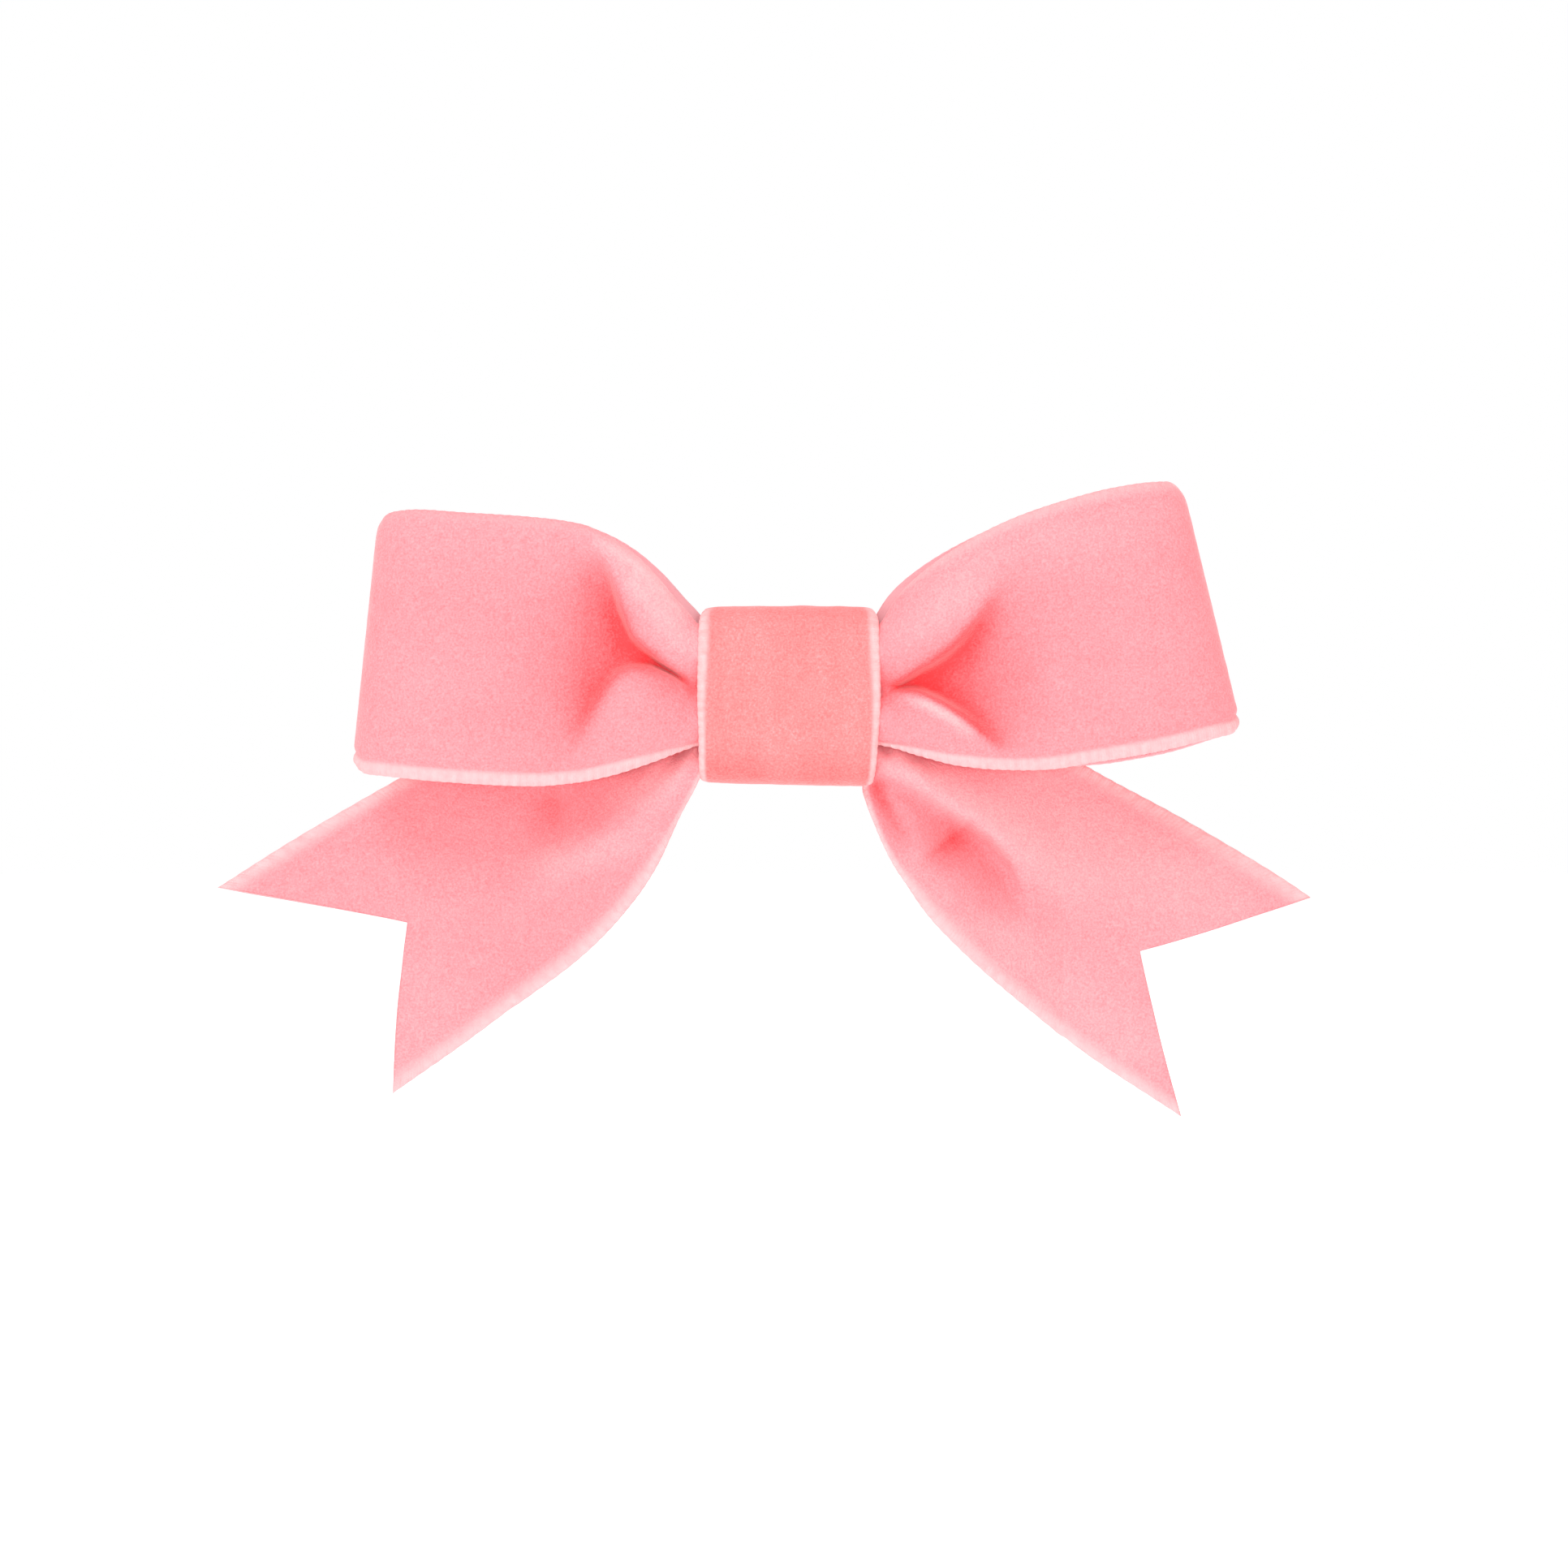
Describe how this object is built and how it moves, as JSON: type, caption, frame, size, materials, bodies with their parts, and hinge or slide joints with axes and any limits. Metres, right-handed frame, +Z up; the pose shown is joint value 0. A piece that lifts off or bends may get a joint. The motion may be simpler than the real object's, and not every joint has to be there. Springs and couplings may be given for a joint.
{
  "type": "barrette",
  "caption": "Hair barrette: a velvet ribbon bow with puffed loops, swallow-tail ends and a wrapped knot on a curved spring clasp.",
  "frame": {"origin": "middle of the gap that holds the hair, between the crown of the tension bar and the arm, behind the middle of the bow's knot", "axes": "+X along the clasp towards its catch, +Y from the bow through the gap towards the head, +Z up as worn with the clasp level"},
  "size_m": [0.1066, 0.0254, 0.0619],
  "materials": {
    "ribbon_velvet": "short velvet pile, pastel pink",
    "knot_velvet": "short velvet pile, coral pink",
    "thread": "spun sewing thread",
    "clasp_steel": "nickel plated stamping",
    "spring_steel": "plated spring strip",
    "glue": "set hot-melt glue"
  },
  "bodies": {
    "bow_and_plate": {"base_plate": "clasp_steel", "hinge_pin": "clasp_steel", "catch_base": "spring_steel", "catch_rivet": "clasp_steel", "loop_ribbon": "ribbon_velvet", "tail_ribbon": "ribbon_velvet", "knot_band": "knot_velvet", "gathering_thread": "thread", "tack_stitches": "thread", "glue_pads": "glue"},
    "arm": {"clasp_arm": "clasp_steel"},
    "upper_prong": {"catch_prong_upper": "spring_steel"},
    "lower_prong": {"catch_prong_lower": "spring_steel"},
    "bar_hinge_side": {"tension_bar_hinge_half": "spring_steel"},
    "bar_catch_side": {"tension_bar_catch_half": "spring_steel"}
  },
  "joints": [
    {"name": "arm_hinge", "type": "hinge", "parent": "bow_and_plate", "child": "arm", "pos_m": [-0.02553, -0.00062, 0], "axis": [0, 0, 1], "range_deg": [0, 100], "deforming": ["catch_prong_upper", "catch_prong_lower"]},
    {"name": "upper_prong_pinch", "type": "hinge", "parent": "bow_and_plate", "child": "upper_prong", "pos_m": [0.02447, -0.00242, 0.0023], "axis": [-0.9947, -0.1028, 0], "range_deg": [0, 6], "stiffness_Nm_per_rad": 0.2},
    {"name": "lower_prong_pinch", "type": "hinge", "parent": "bow_and_plate", "child": "lower_prong", "pos_m": [0.02447, -0.00242, -0.0023], "axis": [0.9947, 0.1028, 0], "range_deg": [0, 6], "stiffness_Nm_per_rad": 0.2},
    {"name": "tension_bar_flex", "type": "hinge", "parent": "bow_and_plate", "child": "bar_hinge_side", "pos_m": [-0.019, -0.00453, 0], "axis": [0, 0, 1], "range_deg": [-4, 0], "stiffness_Nm_per_rad": 0.2},
    {"name": "tension_bar_crown", "type": "hinge", "parent": "bar_hinge_side", "child": "bar_catch_side", "pos_m": [0, -0.00258, 0], "axis": [0, 0, 1], "range_deg": [0, 8], "stiffness_Nm_per_rad": 0.05}
  ],
  "couplings": [
    {"joint": "lower_prong_pinch", "follows": "upper_prong_pinch", "ratio": 1},
    {"joint": "tension_bar_crown", "follows": "tension_bar_flex", "ratio": -2}
  ]
}
